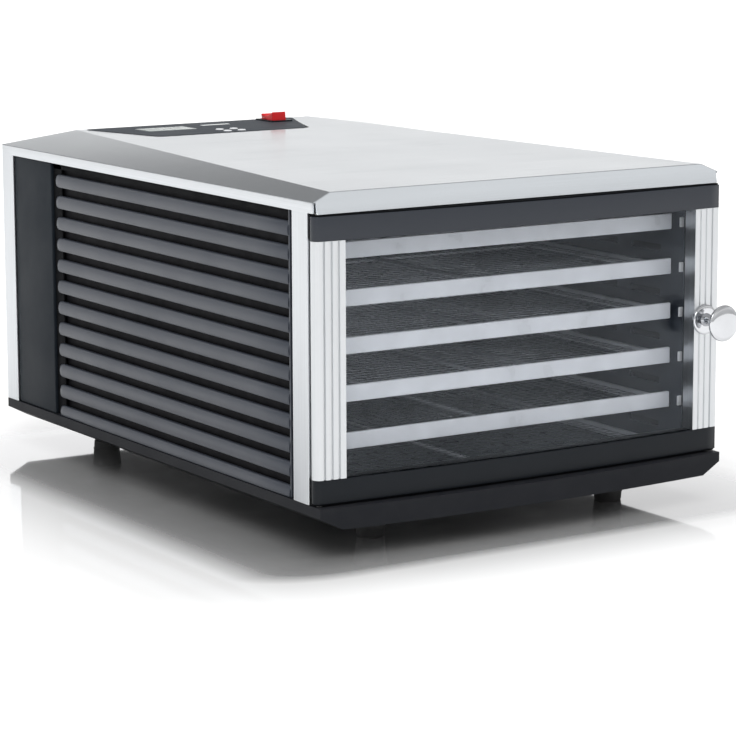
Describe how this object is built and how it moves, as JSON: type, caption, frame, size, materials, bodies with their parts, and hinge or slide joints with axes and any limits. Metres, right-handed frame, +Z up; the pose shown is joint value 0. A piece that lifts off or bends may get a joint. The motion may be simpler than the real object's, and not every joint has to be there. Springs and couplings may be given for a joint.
{
  "type": "food dehydrator",
  "caption": "Box-shaped food dehydrator with louvred sides, a bowed glass door with a knob, stacked sliding trays and a rear fan.",
  "frame": {"origin": "on the floor, at the centre of the bounding box", "axes": "+Z up, -Y out of the glass door, +X towards the door's knob side"},
  "size_m": [0.345, 0.508, 0.2592],
  "materials": {
    "base_pan": "satin black moulding, fine grain",
    "feet": "matt rubber",
    "foot_screws": "zinc plated",
    "side_panel_left": "charcoal metallic moulding, satin",
    "side_panel_right": "charcoal metallic moulding, satin",
    "trim_left": "satin silver, brushed along its length",
    "trim_right": "satin silver, brushed along its length",
    "top_cover": "brushed stainless steel, grain along the width",
    "front_bezel": "black moulding",
    "door_gasket": "soft matt strip",
    "liner_floor": "plain steel sheet",
    "rack_left": "grey moulding",
    "rack_right": "grey moulding",
    "chassis": "black powder coat",
    "rear_partition": "plain steel sheet",
    "heating_element": "heat-tinted tube",
    "fan_shroud": "galvanised sheet",
    "fan_motor": "dark machined case",
    "motor_bracket": "galvanised sheet",
    "rear_cover": "black powder coat",
    "rear_cover_screws": "zinc plated",
    "cord_gland": "black moulding",
    "terminal_block": "ivory moulding",
    "control_panel": "dark grey satin overlay",
    "display_windows": "pale display glass",
    "control_board": "green circuit board",
    "rocker_frame": "black moulding",
    "hinge_bracket": "galvanised sheet",
    "strike_plate": "galvanised sheet",
    "door_top_rail": "black, satin gloss",
    "door_bottom_rail": "black, satin gloss",
    "door_hinge_pillar": "bright anodised, ribbed",
    "door_handle_pillar": "bright anodised, ribbed",
    "door_glass": "clear, faint grey",
    "knob_rose": "polished",
    "knob_stem": "polished",
    "knob_head": "polished",
    "knob_screw": "zinc plated",
    "hinge_pins": "zinc plated",
    "door_magnet": "sintered magnet bar",
    "fan_blade": "stamped sheet",
    "fan_shaft": "zinc plated",
    "rocker_button": "translucent red",
    "button_1": "light grey",
    "button_2": "light grey",
    "button_3": "light grey",
    "button_4": "light grey",
    "tray_1": "pale grey moulding",
    "tray_2": "pale grey moulding",
    "tray_3": "pale grey moulding",
    "tray_4": "pale grey moulding",
    "tray_5": "pale grey moulding",
    "tray_6": "pale grey moulding",
    "tray_mesh_1": "woven mesh",
    "tray_mesh_2": "woven mesh",
    "tray_mesh_3": "woven mesh",
    "tray_mesh_4": "woven mesh",
    "tray_mesh_5": "woven mesh",
    "tray_mesh_6": "woven mesh"
  },
  "bodies": {
    "cabinet": {"base_pan": "base_pan", "feet": "feet", "foot_screws": "foot_screws", "side_panel_left": "side_panel_left", "side_panel_right": "side_panel_right", "trim_left": "trim_left", "trim_right": "trim_right", "top_cover": "top_cover", "front_bezel": "front_bezel", "door_gasket": "door_gasket", "liner_floor": "liner_floor", "rack_left": "rack_left", "rack_right": "rack_right", "chassis": "chassis", "rear_partition": "rear_partition", "heating_element": "heating_element", "fan_shroud": "fan_shroud", "fan_motor": "fan_motor", "motor_bracket": "motor_bracket", "rear_cover": "rear_cover", "rear_cover_screws": "rear_cover_screws", "cord_gland": "cord_gland", "terminal_block": "terminal_block", "control_panel": "control_panel", "display_windows": "display_windows", "control_board": "control_board", "rocker_frame": "rocker_frame", "hinge_bracket": "hinge_bracket", "strike_plate": "strike_plate"},
    "door": {"door_top_rail": "door_top_rail", "door_bottom_rail": "door_bottom_rail", "door_hinge_pillar": "door_hinge_pillar", "door_handle_pillar": "door_handle_pillar", "door_glass": "door_glass", "knob_rose": "knob_rose", "knob_stem": "knob_stem", "knob_head": "knob_head", "knob_screw": "knob_screw", "hinge_pins": "hinge_pins", "door_magnet": "door_magnet"},
    "fan": {"fan_blade": "fan_blade", "fan_shaft": "fan_shaft"},
    "rocker": {"rocker_button": "rocker_button"},
    "push_1": {"button_1": "button_1"},
    "push_2": {"button_2": "button_2"},
    "push_3": {"button_3": "button_3"},
    "push_4": {"button_4": "button_4"},
    "drawer_1": {"tray_1": "tray_1", "tray_mesh_1": "tray_mesh_1"},
    "drawer_2": {"tray_2": "tray_2", "tray_mesh_2": "tray_mesh_2"},
    "drawer_3": {"tray_3": "tray_3", "tray_mesh_3": "tray_mesh_3"},
    "drawer_4": {"tray_4": "tray_4", "tray_mesh_4": "tray_mesh_4"},
    "drawer_5": {"tray_5": "tray_5", "tray_mesh_5": "tray_mesh_5"},
    "drawer_6": {"tray_6": "tray_6", "tray_mesh_6": "tray_mesh_6"}
  },
  "joints": [
    {"name": "door_hinge", "type": "hinge", "parent": "cabinet", "child": "door", "pos_m": [-0.1672, -0.223, 0.135], "axis": [0, 0, -1], "range_deg": [0, 115]},
    {"name": "fan_spin", "type": "hinge", "parent": "cabinet", "child": "fan", "pos_m": [0, 0.172, 0.133], "axis": [0, 1, 0], "continuous": true},
    {"name": "rocker_tilt", "type": "hinge", "parent": "cabinet", "child": "rocker", "pos_m": [0.064, 0.223, 0.24939], "axis": [1, 0, 0], "range_deg": [0, 16]},
    {"name": "push_1_travel", "type": "slide", "parent": "cabinet", "child": "push_1", "axis": [0, 0.0051, -1], "range_m": [0, 0.0008], "stiffness_N_per_m": 300, "springref_m": -0.0003},
    {"name": "push_2_travel", "type": "slide", "parent": "cabinet", "child": "push_2", "axis": [0, 0.0051, -1], "range_m": [0, 0.0008], "stiffness_N_per_m": 300, "springref_m": -0.0003},
    {"name": "push_3_travel", "type": "slide", "parent": "cabinet", "child": "push_3", "axis": [0, 0.0051, -1], "range_m": [0, 0.0008], "stiffness_N_per_m": 300, "springref_m": -0.0003},
    {"name": "push_4_travel", "type": "slide", "parent": "cabinet", "child": "push_4", "axis": [0, 0.0051, -1], "range_m": [0, 0.0008], "stiffness_N_per_m": 300, "springref_m": -0.0003},
    {"name": "tray_1_slide", "type": "slide", "parent": "cabinet", "child": "drawer_1", "axis": [0, -1, 0], "range_m": [0, 0.012]},
    {"name": "tray_2_slide", "type": "slide", "parent": "cabinet", "child": "drawer_2", "axis": [0, -1, 0], "range_m": [0, 0.012]},
    {"name": "tray_3_slide", "type": "slide", "parent": "cabinet", "child": "drawer_3", "axis": [0, -1, 0], "range_m": [0, 0.012]},
    {"name": "tray_4_slide", "type": "slide", "parent": "cabinet", "child": "drawer_4", "axis": [0, -1, 0], "range_m": [0, 0.012]},
    {"name": "tray_5_slide", "type": "slide", "parent": "cabinet", "child": "drawer_5", "axis": [0, -1, 0], "range_m": [0, 0.012]},
    {"name": "tray_6_slide", "type": "slide", "parent": "cabinet", "child": "drawer_6", "axis": [0, -1, 0], "range_m": [0, 0.012]}
  ]
}
